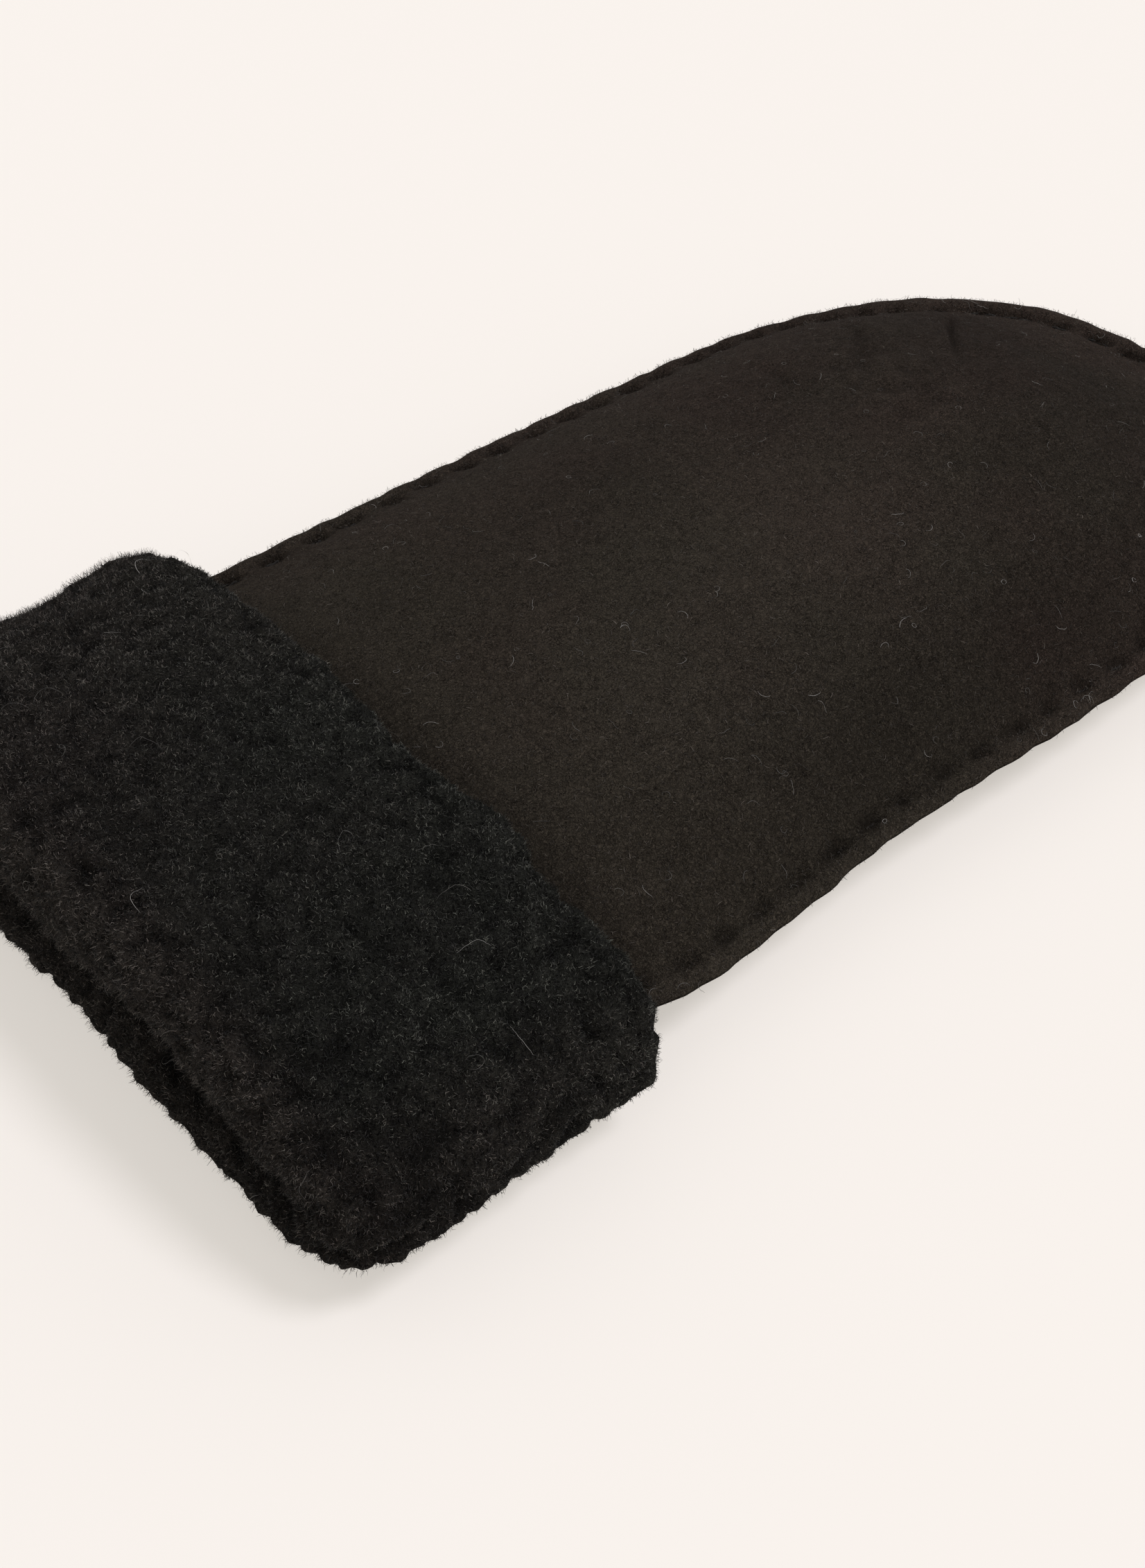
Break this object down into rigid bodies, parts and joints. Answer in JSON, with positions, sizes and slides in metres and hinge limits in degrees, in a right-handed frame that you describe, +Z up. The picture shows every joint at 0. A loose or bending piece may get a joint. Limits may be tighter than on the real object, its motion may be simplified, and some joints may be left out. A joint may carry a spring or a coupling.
{
  "type": "shearling mitten",
  "caption": "Shearling mitten lying on its palm, suede outside, with a turned-back fleece cuff, a raised whipped seam round the hand and the thumb folded flat beneath.",
  "frame": {"origin": "on the surface the mitten lies on, under the middle of its bounding box", "axes": "+X to the fingertips, the longest way; +Y to the thumb's side; +Z up, the shortest way, out of the back of the hand"},
  "size_m": [0.253, 0.1382, 0.0381],
  "materials": {
    "suede": "dark brown napped suede, matt",
    "fleece": "near-black curly clipped fleece"
  },
  "bodies": {
    "root": {"back_panel": "suede", "palm_panel": "suede", "thumb_pouch": "suede", "cuff_back": "fleece", "cuff_palm": "fleece"}
  },
  "joints": []
}
